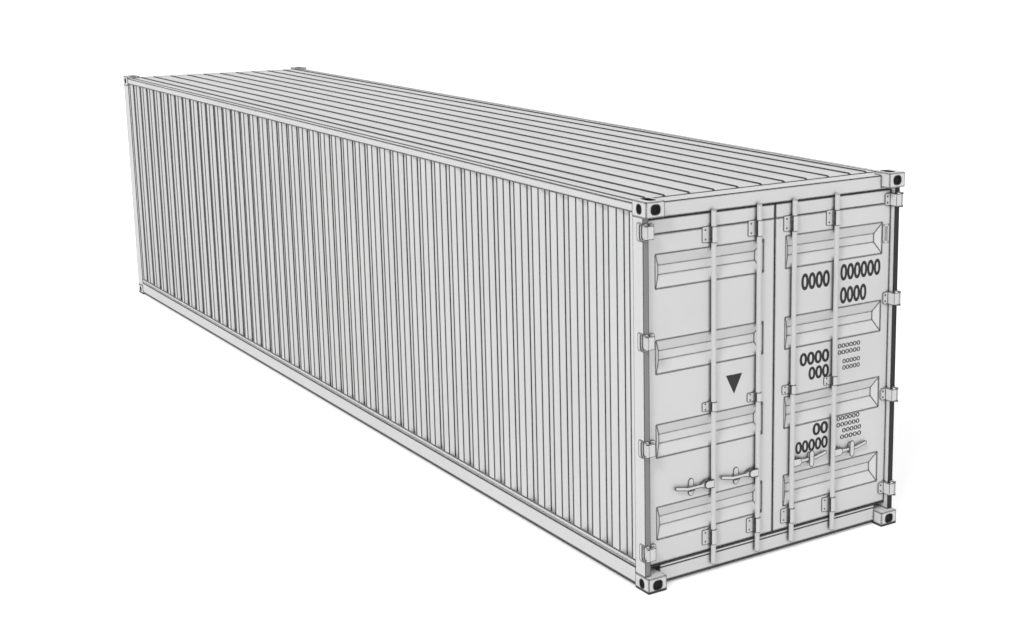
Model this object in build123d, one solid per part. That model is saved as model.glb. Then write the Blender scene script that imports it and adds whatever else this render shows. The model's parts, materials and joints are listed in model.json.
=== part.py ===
"""Forty-foot high-cube shipping container.

X runs along the length and the doors are at +X. Y runs across, and Z is up from the ground
that the four lower corner castings stand on. The origin is at the middle of the base.
Every piece of the right-hand side (+Y) is modelled, and the left-hand one is its mirror image.
"""
import os
from math import atan2, tan

from build123d import *

# Overall size
LENGTH = 12192.0
WIDTH = 2438.0
HEIGHT = 2896.0

# Corner castings, with the slot for a twist-lock and the two lashing holes
CASTING_LENGTH = 178.0
CASTING_WIDTH = 162.0
CASTING_HEIGHT = 118.0
CASTING_WALL = 15.0
CASTING_SEAT = 28.0
CASTING_ROUND = 6.0
SLOT_LENGTH = 124.5
SLOT_WIDTH = 63.5
SLOT_FROM_END = 103.5
SLOT_FROM_SIDE = 89.5
SIDE_HOLE = (60.0, 64.0)
END_HOLE = (76.0, 66.0)
HOLE_ROUND = 29.0

# Frame of posts and rails
PROUD = 6.0
BASE_GAP = 17.0
ROOF_DROP = 26.0
FRAME_WALL = 6.0
REAR_POST_DEPTH = 127.0
REAR_POST_WIDTH = 48.0
REAR_POST_OUTER_WALL = 26.0
FRONT_POST_INNER = 100.0
FRONT_POST_LIP = 48.0
FRONT_POST_FACE = 70.0
TOP_RAIL_HEIGHT = 68.0
TOP_RAIL_WIDTH = 60.0
TOP_RAIL_WALL = 4.0
BOTTOM_RAIL_HEIGHT = 162.0
BOTTOM_RAIL_FLANGE = 53.0
RAIL_STEP = 3.0
RAIL_STEP_HEIGHT = 24.0
RAIL_LIP_HEIGHT = 30.0
FRONT_RAIL_DEPTH = 60.0
DOOR_PLANE_SET_BACK = 96.0
HEADER_HEIGHT = 113.0
HEADER_DEPTH = 170.0
SILL_DEPTH = 120.0
THRESHOLD = 10.0
SILL_LIP = 3.0
SILL_LIP_HEIGHT = 30.0

# Corrugated walls
SHEET = 2.0
WALL_SET_BACK = 8.0
WALL_DEPTH = 36.0
FOLD_PITCH = 275.0
OUTER_FLAT = 125.0
INNER_FLAT = 70.0

# Roof
ROOF_EDGE = 48.0
ROOF_OVERLAP = 20.0
RIB_COUNT = 9
RIB_PITCH = 220.0
RIB_HEIGHT = 13.0
RIB_BASE = 26.0
RIB_TOP = 10.0
RIB_END = 20.0
RIB_MARGIN = 15.0
EDGE_RIB_FROM_SIDE = 165.0

# Floor and the cross members that carry it
FLOOR_THICKNESS = 28.0
FLOOR_EDGE_GAP = 7.0
FLOOR_DROP = 1.0
CROSS_MEMBER_PITCH = 305.0
CROSS_MEMBER_FLANGE = 45.0
CROSS_MEMBER_WALL = 4.0

# Door leaves
LEAF_THICKNESS = 50.0
LEAF_SHEET = 3.0
LEAF_SIDE_GAP = 5.0
LEAF_TOP_GAP = 6.0
LEAF_BOTTOM_GAP = 8.0
LEAF_CENTRE_GAP = 10.0
CENTRE_STILE = 100.0
HINGE_STILE = 80.0
LEAF_TOP_RAIL = 110.0
LEAF_BOTTOM_RAIL = 160.0
LEAF_FRAME_WALL = 4.0
TOP_RAIL_SEAM = 3.0
GROOVE_COUNT = 4
LOWEST_GROOVE = 308.0
HIGHEST_GROOVE = 379.0
GROOVE_HEIGHT = 245.0
GROOVE_FLOOR = 70.0
GROOVE_MITRE = 48.0
GROOVE_DEPTH = 45.0
GASKET_WIDTH = 34.0
GASKET_THICKNESS = 12.0

# Hinges
HINGE_COUNT = 4
LOWEST_HINGE = 296.0
HIGHEST_HINGE = 221.0
PIN_FROM_END = 17.0
PIN_FROM_SIDE = 12.0
PIN_RADIUS = 5.5
PIN_CLEARANCE = 0.5
KNUCKLE_RADIUS = 11.0
BLADE_HEIGHT = 96.0
BLADE_THICKNESS = 14.0
BLADE_ARM = 62.0
BLADE_WEB = 12.0
BLADE_REACH = 112.0
BLADE_ROUND = 18.0
LUG_THICKNESS = 10.0
LUG_GAP = 2.0
LUG_ROOT = 30.0
NOTCH_CLEARANCE = 6.0
NOTCH_MARGIN = 12.0
NOTCH_ROUND = 20.0

# Lock rods, their guides, handles and catches
ROD_RADIUS = 19.0
ROD_STAND_OFF = 28.0
ROD_OFFSETS = {"inner": 168.0, "outer": 585.0}
ROD_BOTTOM = 62.0
ROD_FROM_TOP = 116.0
ROD_END_ROUND = 14.0
LOW_GUIDE = 104.0
MIDDLE_GUIDE = 0.436
HIGH_GUIDE = 159.0
END_GUIDE_HEIGHT = 118.0
MIDDLE_GUIDE_HEIGHT = 70.0
GUIDE_CLEARANCE = 0.5
GUIDE_WALL = 6.0
GUIDE_FOOT = 6.0
GUIDE_PLATE = 62.0
GUIDE_ROUND = 10.0
HANDLE_HEIGHT = 709.0
HANDLE_PIN_OFFSET = 58.0
HANDLE_PIN_RADIUS = 6.0
HANDLE_THICKNESS = 12.0
HANDLE_HUB_RADIUS = 33.0
HANDLE_NECK_LENGTH = 60.0
HANDLE_BAR = 28.0
HANDLE_BAR_LENGTH = 190.0
HANDLE_GRIP_LENGTH = 120.0
HANDLE_GRIP = 30.0
HANDLE_GRIP_RISE = 12.0
EAR_THICKNESS = 8.0
EAR_GAP = 4.0
EAR_RADIUS = 30.0
CATCH_DISTANCE = 190.0
CATCH_SIZE = (45.0, 134.0)
SMALL_CATCH_SIZE = (30.0, 90.0)
CATCH_THICKNESS = 8.0
CATCH_SHELF = 8.0
CATCH_SHELF_GAP = 5.0
SEAL_PLATE_THICKNESS = 6.0

# Bare data plate on the right-hand door
DATA_PLATE = (64.0, 150.0)
DATA_PLATE_FROM_EDGE = 42.0
DATA_PLATE_FROM_TOP = 348.0
DATA_PLATE_THICKNESS = 2.0


def spread(low, high, count):
    """Levels at equal distances from low to high."""
    return [low + (high - low) * step / (count - 1) for step in range(count)]


# Planes and levels that follow from the sizes above
END_X = LENGTH / 2
SIDE_Y = WIDTH / 2
FRAME_Y = SIDE_Y - PROUD
FRONT_X = END_X - PROUD
CASTING_X = END_X - CASTING_LENGTH
CASTING_Y = SIDE_Y - CASTING_WIDTH
DOOR_X = END_X - DOOR_PLANE_SET_BACK
ROOF_Z = HEIGHT - ROOF_DROP
POST_BOTTOM = CASTING_HEIGHT
POST_TOP = HEIGHT - CASTING_HEIGHT
POST_REAR_X = CASTING_X + REAR_POST_DEPTH
POST_INNER_Y = FRAME_Y - REAR_POST_WIDTH
TOP_RAIL_Z = ROOF_Z - TOP_RAIL_HEIGHT
TOP_RAIL_Y = FRAME_Y - TOP_RAIL_WIDTH
BOTTOM_RAIL_Z = BASE_GAP + BOTTOM_RAIL_HEIGHT
HEADER_Z = ROOF_Z - HEADER_HEIGHT
FLOOR_Z = BOTTOM_RAIL_Z - FRAME_WALL - FLOOR_DROP
WALL_Y = FRAME_Y - WALL_SET_BACK
HINGE_X = END_X - PIN_FROM_END
HINGE_Y = SIDE_Y - PIN_FROM_SIDE
LEAF_INNER_Y = LEAF_CENTRE_GAP / 2
LEAF_OUTER_Y = POST_INNER_Y - LEAF_SIDE_GAP
LEAF_BOTTOM = FLOOR_Z + LEAF_BOTTOM_GAP
LEAF_TOP = HEADER_Z - LEAF_TOP_GAP
ROD_X = DOOR_X + ROD_STAND_OFF
ROD_TOP = HEIGHT - ROD_FROM_TOP
HINGE_HEIGHTS = spread(LOWEST_HINGE, HEIGHT - HIGHEST_HINGE, HINGE_COUNT)
GROOVE_HEIGHTS = spread(LEAF_BOTTOM + LOWEST_GROOVE, LEAF_TOP - HIGHEST_GROOVE, GROOVE_COUNT)
GUIDES = (
    (LEAF_BOTTOM + LOW_GUIDE, END_GUIDE_HEIGHT),
    (LEAF_BOTTOM + MIDDLE_GUIDE * (LEAF_TOP - LEAF_BOTTOM), MIDDLE_GUIDE_HEIGHT),
    (LEAF_TOP - HIGH_GUIDE, END_GUIDE_HEIGHT),
)


def slab(x, y, z):
    """Box between the two values given for each axis."""
    size = [high - low for low, high in (x, y, z)]
    middle = [(high + low) / 2 for low, high in (x, y, z)]
    return Pos(*middle) * Box(*size)


def tube(x, y, z, wall, along):
    """Rectangular tube whose ends are open along one axis."""
    inner = {}
    for axis, (low, high) in {"x": x, "y": y, "z": z}.items():
        inset = 0.0 if axis == along else wall
        inner[axis] = (low + inset, high - inset)
    return slab(x, y, z) - slab(inner["x"], inner["y"], inner["z"])


def prism(points, bottom, top):
    """Upright prism over a closed outline of points."""
    outline = make_face(Polyline(*points, close=True))
    return Pos(0, 0, bottom) * extrude(outline, top - bottom)


def frustum(base, top, depth):
    """Solid between a rectangle at z = 0 and one at z = depth, with four flat sloping sides."""
    rings = []
    for (width, height), level in ((base, 0.0), (top, depth)):
        corners = ((-1, -1), (1, -1), (1, 1), (-1, 1))
        rings.append([(sx * width / 2, sy * height / 2, level) for sx, sy in corners])
    low, high = rings
    outlines = [low, high]
    for here in range(4):
        after = (here + 1) % 4
        outlines.append([low[here], low[after], high[after], high[here]])
    faces = [Face(Wire.make_polygon(outline)) for outline in outlines]
    return Solid(Shell(faces))


def to_side(shape, side):
    """The shape itself on the right-hand side, or its mirror image on the left."""
    return shape if side > 0 else mirror(shape, about=Plane.XZ)


def gather(pieces):
    """One node of several separate solids."""
    solids = []
    for piece in pieces:
        solids += piece.solids()
    return Compound(solids)


def corrugation(length):
    """Outline of a folded sheet from u = 0 to length, with its outer face at v = 0."""
    folds = round(length / FOLD_PITCH)
    pitch = length / folds
    slope = (pitch - OUTER_FLAT - INNER_FLAT) / 2
    depth = WALL_DEPTH - SHEET
    shift = SHEET * tan(atan2(depth, slope) / 2)
    outer = [(0.0, 0.0)]
    inner = [(0.0, -SHEET)]
    for fold in range(folds):
        u = fold * pitch + OUTER_FLAT / 2
        corners = (
            (u, 0.0, -shift),
            (u + slope, -depth, -shift),
            (u + slope + INNER_FLAT, -depth, shift),
            (u + 2 * slope + INNER_FLAT, 0.0, shift),
        )
        for place, level, move in corners:
            outer.append((place, level))
            inner.append((place + move, level - SHEET))
    outer.append((length, 0.0))
    inner.append((length, -SHEET))
    return outer + inner[::-1]


def corner_casting():
    """Hollow cast block at the rear, right, top corner."""
    x = (CASTING_X, END_X)
    y = (CASTING_Y, SIDE_Y)
    z = (POST_TOP, HEIGHT)
    block = slab(x, y, z)
    block = fillet(block.edges(), CASTING_ROUND)
    block -= slab(
        (x[0] + CASTING_WALL, x[1] - CASTING_WALL),
        (y[0] + CASTING_WALL, y[1] - CASTING_WALL),
        (z[0] + CASTING_WALL, z[1] - CASTING_SEAT),
    )
    middle = [(low + high) / 2 for low, high in (x, y, z)]
    slot = extrude(SlotOverall(SLOT_LENGTH, SLOT_WIDTH), CASTING_SEAT, both=True)
    block -= Pos(END_X - SLOT_FROM_END, SIDE_Y - SLOT_FROM_SIDE, HEIGHT) * slot
    side_hole = extrude(RectangleRounded(*SIDE_HOLE, HOLE_ROUND), 2 * CASTING_WALL, both=True)
    block -= Plane(origin=(middle[0], SIDE_Y, middle[2]), x_dir=(1, 0, 0), z_dir=(0, 1, 0)) * side_hole
    end_hole = extrude(RectangleRounded(*END_HOLE, HOLE_ROUND), 2 * CASTING_WALL, both=True)
    block -= Plane(origin=(END_X, middle[1], middle[2]), x_dir=(0, 1, 0), z_dir=(1, 0, 0)) * end_hole
    return block


def castings():
    """The eight castings, each a mirror image of the first."""
    nodes = {}
    first = corner_casting()
    for end, front in (("rear", False), ("front", True)):
        at_end = mirror(first, about=Plane.YZ) if front else first
        for side, sign in (("right", 1), ("left", -1)):
            at_side = to_side(at_end, sign)
            low = mirror(at_side, about=Plane.XY.offset(HEIGHT / 2))
            nodes[f"corner_casting_{end}_{side}_top"] = at_side
            nodes[f"corner_casting_{end}_{side}_bottom"] = low
    return nodes


def rear_post():
    """Hollow door post, notched at each hinge so that the blade can fold back beside it."""
    x = (CASTING_X, POST_REAR_X)
    z = (POST_BOTTOM, POST_TOP)
    post = slab(x, (POST_INNER_Y, FRAME_Y), z)
    hollow_y = (POST_INNER_Y + FRAME_WALL, FRAME_Y - REAR_POST_OUTER_WALL)
    post -= slab((x[0] + FRAME_WALL, x[1] - FRAME_WALL), hollow_y, z)
    notch_x = HINGE_X - BLADE_ARM - NOTCH_MARGIN
    notch_y = HINGE_Y - BLADE_THICKNESS / 2 - NOTCH_CLEARANCE
    reach = BLADE_HEIGHT / 2 + NOTCH_MARGIN
    notch = slab((notch_x, END_X), (notch_y, SIDE_Y), (-reach, reach))
    notch = fillet(notch.edges().filter_by(Axis.Y).group_by(Axis.X)[0], NOTCH_ROUND)
    for level in HINGE_HEIGHTS:
        post -= Pos(0, 0, level) * notch
    return post


def front_post():
    """Pressed front corner post, open inside."""
    inner_y = FRAME_Y - FRONT_POST_INNER
    lip_y = FRAME_Y - FRONT_POST_LIP
    face_x = -FRONT_X + FRONT_POST_FACE
    outline = [(-FRONT_X, FRAME_Y), (-CASTING_X, FRAME_Y), (-CASTING_X, lip_y), (face_x, inner_y),
               (-FRONT_X, inner_y)]
    outer = make_face(Polyline(*outline, close=True))
    section = outer - offset(outer, -FRAME_WALL)
    return Pos(0, 0, POST_BOTTOM) * extrude(section, POST_TOP - POST_BOTTOM)


def top_side_rail():
    """Square tube along the top of a side wall."""
    return tube((-CASTING_X, CASTING_X), (TOP_RAIL_Y, FRAME_Y), (TOP_RAIL_Z, ROOF_Z), TOP_RAIL_WALL, "x")


def bottom_side_rail():
    """Channel along the bottom of a side wall, open towards the middle, with a lip before the wall."""
    x = (-CASTING_X, CASTING_X)
    inner_y = FRAME_Y - BOTTOM_RAIL_FLANGE
    lip_y = FRAME_Y - RAIL_STEP
    rail = slab(x, (inner_y, FRAME_Y), (BASE_GAP, BOTTOM_RAIL_Z))
    hollow_z = (BASE_GAP + FRAME_WALL, BOTTOM_RAIL_Z - FRAME_WALL)
    rail -= slab(x, (inner_y, FRAME_Y - FRAME_WALL), hollow_z)
    rail -= slab(x, (lip_y, FRAME_Y), (BOTTOM_RAIL_Z - RAIL_STEP_HEIGHT, BOTTOM_RAIL_Z))
    return rail + slab(x, (WALL_Y, lip_y), (BOTTOM_RAIL_Z, BOTTOM_RAIL_Z + RAIL_LIP_HEIGHT))


def side_wall():
    """Corrugated side wall between the corner posts."""
    outline = corrugation(2 * CASTING_X)
    points = [(u - CASTING_X, WALL_Y + v) for u, v in outline]
    return prism(points, BOTTOM_RAIL_Z, TOP_RAIL_Z)


def front_wall():
    """Corrugated end wall between the front posts."""
    half = FRAME_Y - FRONT_POST_INNER
    outline = corrugation(2 * half)
    points = [(-FRONT_X + WALL_SET_BACK - v, u - half) for u, v in outline]
    return prism(points, POST_BOTTOM, POST_TOP)


def front_rail(z):
    """Tube across the front end between two castings."""
    x = (-FRONT_X, -FRONT_X + FRONT_RAIL_DEPTH)
    return tube(x, (-CASTING_Y, CASTING_Y), z, FRAME_WALL, "y")


def door_header():
    """Hollow beam over the doors, with a lip below it that reaches the posts."""
    x = (DOOR_X - HEADER_DEPTH, DOOR_X)
    z = (HEADER_Z, ROOF_Z)
    beam = tube(x, (-CASTING_Y, CASTING_Y), z, FRAME_WALL, "y")
    lip = slab(x, (-POST_INNER_Y, POST_INNER_Y), (HEADER_Z, POST_TOP))
    lip -= slab((x[0] + FRAME_WALL, x[1] - FRAME_WALL), (-CASTING_Y, CASTING_Y),
                (HEADER_Z + FRAME_WALL, POST_TOP))
    beam += lip
    for side in (-1, 1):
        y = sorted((side * (CASTING_Y - FRAME_WALL), side * TOP_RAIL_Y))
        beam += slab((x[0], CASTING_X), y, (POST_TOP, ROOF_Z))
    return beam


def door_sill():
    """Hollow beam under the doors, with a lip along it and a threshold plate that reaches the posts."""
    x = (DOOR_X - SILL_DEPTH, DOOR_X)
    beam = tube(x, (-CASTING_Y, CASTING_Y), (BASE_GAP, FLOOR_Z), FRAME_WALL, "y")
    beam += slab(x, (-POST_INNER_Y, POST_INNER_Y), (FLOOR_Z - THRESHOLD, FLOOR_Z))
    lip_z = (FLOOR_Z - SILL_LIP_HEIGHT, FLOOR_Z)
    return beam + slab((DOOR_X, DOOR_X + SILL_LIP), (-CASTING_Y, CASTING_Y), lip_z)


def roof_panel():
    """Roof sheet with long pressed ribs, evenly spaced and one more along each side."""
    rear = DOOR_X - HEADER_DEPTH + ROOF_OVERLAP
    half = FRAME_Y - ROOF_EDGE
    sheet = slab((-CASTING_X, rear), (-half, half), (ROOF_Z, ROOF_Z + SHEET))
    rib_front = -CASTING_X + RIB_MARGIN
    rib_rear = rear - RIB_MARGIN
    length = rib_rear - rib_front
    middle = (rib_rear + rib_front) / 2
    outer = frustum((length, RIB_BASE), (length - 2 * RIB_END, RIB_TOP), RIB_HEIGHT)
    hollow = frustum((length - 2 * SHEET, RIB_BASE - 2 * SHEET),
                     (length - 2 * RIB_END - 2 * SHEET, RIB_TOP - 2 * SHEET), RIB_HEIGHT)
    reach = (RIB_COUNT - 1) / 2 * RIB_PITCH
    edge_y = FRAME_Y - EDGE_RIB_FROM_SIDE
    for y in [-edge_y, *spread(-reach, reach, RIB_COUNT), edge_y]:
        sheet += Pos(middle, y, ROOF_Z + SHEET) * outer
        sheet -= Pos(middle, y, ROOF_Z) * hollow
    return sheet


def roof_front_plate():
    """Flat strip of roof between the two front castings."""
    front = -FRONT_X + FRONT_RAIL_DEPTH - ROOF_OVERLAP
    return slab((front, -CASTING_X), (-CASTING_Y, CASTING_Y), (ROOF_Z, ROOF_Z + SHEET))


def floor_deck():
    """Plywood floor, narrower between the front posts."""
    z = (FLOOR_Z - FLOOR_THICKNESS, FLOOR_Z)
    half = FRAME_Y - FRAME_WALL - FLOOR_EDGE_GAP
    narrow = FRAME_Y - FRONT_POST_INNER
    deck = slab((-CASTING_X, DOOR_X - SILL_DEPTH), (-half, half), z)
    front = -FRONT_X + WALL_SET_BACK + WALL_DEPTH
    return deck + slab((front, -CASTING_X), (-narrow, narrow), z)


def cross_members():
    """Row of channels under the floor, from one bottom rail to the other."""
    half = FRAME_Y - FRAME_WALL
    z = (BASE_GAP + FRAME_WALL, FLOOR_Z - FLOOR_THICKNESS)
    inner_z = (z[0] + CROSS_MEMBER_WALL, z[1] - CROSS_MEMBER_WALL)
    room = DOOR_X - SILL_DEPTH - CROSS_MEMBER_FLANGE - (-FRONT_X + FRONT_RAIL_DEPTH)
    count = int((room - CROSS_MEMBER_PITCH) / CROSS_MEMBER_PITCH) + 1
    middle = (DOOR_X - SILL_DEPTH - FRONT_X + FRONT_RAIL_DEPTH) / 2
    channel = slab((0, CROSS_MEMBER_FLANGE), (-half, half), z)
    channel -= slab((CROSS_MEMBER_WALL, CROSS_MEMBER_FLANGE), (-half, half), inner_z)
    first = middle - CROSS_MEMBER_FLANGE / 2 - (count - 1) / 2 * CROSS_MEMBER_PITCH
    return gather([Pos(first + place * CROSS_MEMBER_PITCH, 0, 0) * channel for place in range(count)])


def hinge_lugs():
    """Two lugs and the pin of each hinge, standing out from the rear face of a post."""
    root_x = POST_REAR_X
    lug = make_face(Polyline((root_x, HINGE_Y - LUG_ROOT), (HINGE_X, HINGE_Y - KNUCKLE_RADIUS),
                             (HINGE_X, FRAME_Y), (root_x, FRAME_Y), close=True))
    lug += Pos(HINGE_X, HINGE_Y) * Circle(KNUCKLE_RADIUS)
    near = BLADE_HEIGHT / 2 + LUG_GAP
    reach = near + LUG_THICKNESS
    hinges = []
    for level in HINGE_HEIGHTS:
        hinge = Pos(HINGE_X, HINGE_Y, level) * Cylinder(PIN_RADIUS, 2 * reach)
        hinge += Pos(0, 0, level + near) * extrude(lug, LUG_THICKNESS)
        hinge += Pos(0, 0, level - reach) * extrude(lug, LUG_THICKNESS)
        hinges.append(hinge)
    return hinges


def hinge_blades():
    """Cranked blades: an arm from the pin, a web down to the leaf and a foot on its face."""
    half = BLADE_THICKNESS / 2
    foot_x = DOOR_X + BLADE_WEB
    web_y = HINGE_Y - BLADE_ARM
    end_y = HINGE_Y - BLADE_REACH
    outline = [(HINGE_X + half, HINGE_Y), (HINGE_X - half, HINGE_Y),
               (HINGE_X - half, web_y + BLADE_WEB), (DOOR_X, web_y + BLADE_WEB),
               (DOOR_X, end_y), (foot_x, end_y), (foot_x, web_y), (HINGE_X + half, web_y)]
    plan = make_face(Polyline(*outline, close=True))
    plan += Pos(HINGE_X, HINGE_Y) * Circle(KNUCKLE_RADIUS)
    plan -= Pos(HINGE_X, HINGE_Y) * Circle(PIN_RADIUS + PIN_CLEARANCE)
    blade = extrude(plan, BLADE_HEIGHT / 2, both=True)
    corners = blade.edges().filter_by(Axis.X).group_by(Axis.Y)[0]
    blade = fillet(corners, BLADE_ROUND)
    return [Pos(0, 0, level) * blade for level in HINGE_HEIGHTS]


def leaf_frame():
    """Hollow frame of a door leaf, with its top rail flush with the outer face."""
    back = DOOR_X - LEAF_THICKNESS
    front = DOOR_X - LEAF_SHEET
    window_y = (LEAF_INNER_Y + CENTRE_STILE, LEAF_OUTER_Y - HINGE_STILE)
    window_z = (LEAF_BOTTOM + LEAF_BOTTOM_RAIL, LEAF_TOP - LEAF_TOP_RAIL)
    wall = LEAF_FRAME_WALL
    frame = slab((back, front), (LEAF_INNER_Y, LEAF_OUTER_Y), (LEAF_BOTTOM, LEAF_TOP))
    frame -= slab((back, front), window_y, window_z)
    hollow_x = (back + wall, front - wall)
    hollow = slab(hollow_x, (LEAF_INNER_Y + wall, LEAF_OUTER_Y - wall), (LEAF_BOTTOM + wall, LEAF_TOP - wall))
    hollow -= slab(hollow_x, (window_y[0] - wall, window_y[1] + wall),
                   (window_z[0] - wall, window_z[1] + wall))
    frame -= hollow
    top_z = (window_z[1] + TOP_RAIL_SEAM, LEAF_TOP)
    return frame + slab((front, DOOR_X), (LEAF_INNER_Y, LEAF_OUTER_Y), top_z)


def leaf_panel():
    """Outer sheet of a door leaf, with level grooves pressed into it."""
    top = LEAF_TOP - LEAF_TOP_RAIL
    panel = slab((DOOR_X - LEAF_SHEET, DOOR_X), (LEAF_INNER_Y, LEAF_OUTER_Y), (LEAF_BOTTOM, top))
    low_y = LEAF_INNER_Y + CENTRE_STILE + LEAF_SHEET
    high_y = LEAF_OUTER_Y - HINGE_STILE - LEAF_SHEET
    length = high_y - low_y
    middle = (high_y + low_y) / 2
    base = (length, GROOVE_HEIGHT)
    floor = (length - 2 * GROOVE_MITRE, GROOVE_FLOOR)
    press = frustum(base, floor, GROOVE_DEPTH)
    back = frustum(*[tuple(side + 2 * LEAF_SHEET for side in size) for size in (base, floor)], GROOVE_DEPTH)
    for level in GROOVE_HEIGHTS:
        face = Plane(origin=(DOOR_X, middle, level), x_dir=(0, 1, 0), z_dir=(-1, 0, 0))
        panel += face * (Pos(0, 0, LEAF_SHEET) * back)
        panel -= face * press
    return panel


def leaf_gasket():
    """Rubber seal round the inner face of a leaf."""
    x = (DOOR_X - LEAF_THICKNESS - GASKET_THICKNESS, DOOR_X - LEAF_THICKNESS)
    outer = slab(x, (LEAF_INNER_Y, LEAF_OUTER_Y), (LEAF_BOTTOM, LEAF_TOP))
    inner = slab(x, (LEAF_INNER_Y + GASKET_WIDTH, LEAF_OUTER_Y - GASKET_WIDTH),
                 (LEAF_BOTTOM + GASKET_WIDTH, LEAF_TOP - GASKET_WIDTH))
    return outer - inner


def rod_guides(rod_y, plate_side):
    """Three saddles that hold a lock rod on the leaf, each with a plate on one side of it."""
    outer = ROD_RADIUS + GUIDE_CLEARANCE + GUIDE_WALL
    plan = Pos(ROD_X, rod_y) * Circle(outer)
    plan += Pos((ROD_X + DOOR_X) / 2, rod_y) * Rectangle(ROD_X - DOOR_X, 2 * outer)
    plate = GUIDE_PLATE + outer
    plan += Pos(DOOR_X + GUIDE_FOOT / 2, rod_y + plate_side * plate / 2) * Rectangle(GUIDE_FOOT, plate)
    plan -= Pos(ROD_X, rod_y) * Circle(ROD_RADIUS + GUIDE_CLEARANCE)
    guides = []
    for level, height in GUIDES:
        guide = extrude(plan, height / 2, both=True)
        ends = guide.edges().filter_by(Axis.X).group_by(Axis.Y)
        guide = fillet(ends[-1] if plate_side > 0 else ends[0], GUIDE_ROUND)
        guides.append(Pos(0, 0, level) * guide)
    return guides


def oval(size):
    """Upright plate outline with fully rounded ends."""
    width, height = size
    return Rot(0, 0, 90) * SlotOverall(height, width)


def handle_catch(rod_y, size):
    """Catch on the leaf behind a handle, with a shelf that the handle lies just above."""
    y = rod_y + CATCH_DISTANCE
    face = Plane(origin=(DOOR_X, y, HANDLE_HEIGHT), x_dir=(0, 1, 0), z_dir=(1, 0, 0))
    plate = face * extrude(oval(size), CATCH_THICKNESS)
    top = HANDLE_HEIGHT - HANDLE_BAR / 2 - CATCH_SHELF_GAP
    shelf_y = (y - size[0] / 2, y + size[0] / 2)
    return plate + slab((DOOR_X, ROD_X), shelf_y, (top - CATCH_SHELF, top))


def lock_rod(rod_y):
    """Lock rod with rounded ends, and two ears and a pin that carry its handle."""
    length = ROD_TOP - ROD_BOTTOM
    rod = Cylinder(ROD_RADIUS, length)
    rod = fillet(rod.edges().filter_by(GeomType.CIRCLE), ROD_END_ROUND)
    rod = Pos(ROD_X, rod_y, (ROD_TOP + ROD_BOTTOM) / 2) * rod
    ear = make_face(Polyline((0, -EAR_RADIUS), (HANDLE_PIN_OFFSET, -EAR_RADIUS),
                             (HANDLE_PIN_OFFSET, EAR_RADIUS), (0, EAR_RADIUS), close=True))
    ear += Pos(HANDLE_PIN_OFFSET, 0) * Circle(EAR_RADIUS)
    near = HANDLE_THICKNESS / 2 + EAR_GAP
    for low in (ROD_X + near, ROD_X - near - EAR_THICKNESS):
        face = Plane(origin=(low, rod_y, HANDLE_HEIGHT), x_dir=(0, 1, 0), z_dir=(1, 0, 0))
        rod += face * extrude(ear, EAR_THICKNESS)
    pin = Rot(0, 90, 0) * Cylinder(HANDLE_PIN_RADIUS, 2 * (near + EAR_THICKNESS))
    return rod + Pos(ROD_X, rod_y + HANDLE_PIN_OFFSET, HANDLE_HEIGHT) * pin


def handle(rod_y, seal_plate):
    """Flat lever that turns on the ears' pin, with a grip that rises to its end."""
    grip_start = HANDLE_BAR_LENGTH - HANDLE_GRIP / 2
    bar = Pos(HANDLE_BAR_LENGTH / 2, 0) * Rectangle(HANDLE_BAR_LENGTH, HANDLE_BAR)
    neck = make_face(Polyline((0, -HANDLE_HUB_RADIUS), (HANDLE_NECK_LENGTH, -HANDLE_BAR / 2),
                              (HANDLE_NECK_LENGTH, HANDLE_BAR / 2), (0, HANDLE_HUB_RADIUS), close=True))
    grip = Pos(HANDLE_GRIP_LENGTH / 2, 0) * SlotOverall(HANDLE_GRIP_LENGTH, HANDLE_GRIP)
    outline = Circle(HANDLE_HUB_RADIUS) + bar + neck
    outline += Pos(grip_start, 0) * Rot(0, 0, HANDLE_GRIP_RISE) * grip
    outline -= Circle(HANDLE_PIN_RADIUS + PIN_CLEARANCE)
    pin_y = rod_y + HANDLE_PIN_OFFSET
    face = Plane(origin=(ROD_X, pin_y, HANDLE_HEIGHT), x_dir=(0, 1, 0), z_dir=(1, 0, 0))
    lever = face * extrude(outline, HANDLE_THICKNESS / 2, both=True)
    if not seal_plate:
        return lever
    plate = extrude(oval(CATCH_SIZE), SEAL_PLATE_THICKNESS)
    return lever + face * (Pos(CATCH_DISTANCE - HANDLE_PIN_OFFSET, 0, HANDLE_THICKNESS / 2) * plate)


def data_plate():
    """Plate riveted to the right-hand leaf near its hinges."""
    width, height = DATA_PLATE
    plate = extrude(RectangleRounded(width, height, DATA_PLATE_THICKNESS), DATA_PLATE_THICKNESS)
    place = (DOOR_X, LEAF_OUTER_Y - DATA_PLATE_FROM_EDGE, LEAF_TOP - DATA_PLATE_FROM_TOP)
    face = Plane(origin=place, x_dir=(0, 1, 0), z_dir=(1, 0, 0))
    return face * plate


def door_nodes(name, side):
    """Every node of one door, by name."""
    sealed = side > 0
    brackets = []
    nodes = {
        f"{name}_door_frame": leaf_frame(),
        f"{name}_door_panel": leaf_panel(),
        f"{name}_door_gasket": leaf_gasket(),
        f"{name}_hinge_blades": gather(hinge_blades()),
    }
    for place, rod_y in ROD_OFFSETS.items():
        brackets += rod_guides(rod_y, -side)
        brackets.append(handle_catch(rod_y, SMALL_CATCH_SIZE if sealed else CATCH_SIZE))
        nodes[f"{name}_{place}_lock_rod"] = lock_rod(rod_y)
        nodes[f"{name}_{place}_handle"] = handle(rod_y, sealed)
    nodes[f"{name}_rod_brackets"] = gather(brackets)
    return {node: to_side(shape, side) for node, shape in nodes.items()}


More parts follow.
